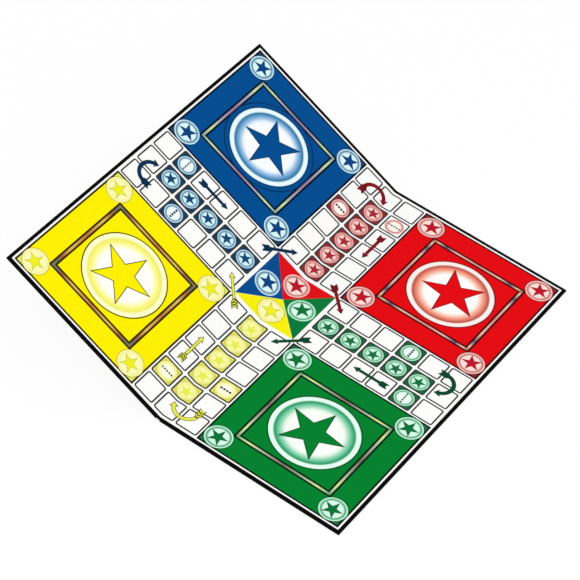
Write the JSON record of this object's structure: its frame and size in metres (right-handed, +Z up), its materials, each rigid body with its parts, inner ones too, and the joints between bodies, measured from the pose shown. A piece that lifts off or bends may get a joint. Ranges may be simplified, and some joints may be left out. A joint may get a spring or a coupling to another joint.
{
  "type": "folding ludo board",
  "caption": "Square folding ludo board in two bound panels with a printed face and a live paper hinge, standing half open.",
  "frame": {"origin": "middle of the underside of the red and green half, which lies flat on the table", "axes": "+Z up from the table, +Y along the fold from the red and blue end to the green and yellow end, +X from the flat half across the fold to the raised half"},
  "size_m": [0.3447, 0.36, 0.0764],
  "materials": {
    "greyboard": "raw grey millboard",
    "print_paper": "coated art paper, offset printed and gloss laminated",
    "hinge_cloth": "sized cotton bookbinding cloth",
    "liner_paper": "uncoated white liner paper",
    "edge_tape": "black embossed binding paper tape"
  },
  "bodies": {
    "red_green_half": {"core_red_green": "greyboard", "print_red_green": "print_paper", "hinge_cloth_red_green": "hinge_cloth", "liner_red_green": "liner_paper", "edge_tape_red_green": "edge_tape", "edge_tape_red_end": "edge_tape", "edge_tape_green_end": "edge_tape", "print_over_fold": "print_paper", "hinge_cloth_over_fold": "hinge_cloth", "edge_tape_over_fold_red_blue": "edge_tape", "edge_tape_over_fold_green_yellow": "edge_tape"},
    "yellow_blue_half": {"core_yellow_blue": "greyboard", "print_yellow_blue": "print_paper", "hinge_cloth_yellow_blue": "hinge_cloth", "liner_yellow_blue": "liner_paper", "edge_tape_yellow_blue": "edge_tape", "edge_tape_yellow_end": "edge_tape", "edge_tape_blue_end": "edge_tape"}
  },
  "joints": [
    {"name": "fold", "type": "hinge", "parent": "red_green_half", "child": "yellow_blue_half", "pos_m": [0.09075, 0, 0.00225], "axis": [0, -1, 0], "range_deg": [-24.4, 155.6], "deforming": ["print_over_fold", "hinge_cloth_over_fold", "edge_tape_over_fold_red_blue", "edge_tape_over_fold_green_yellow"]}
  ]
}
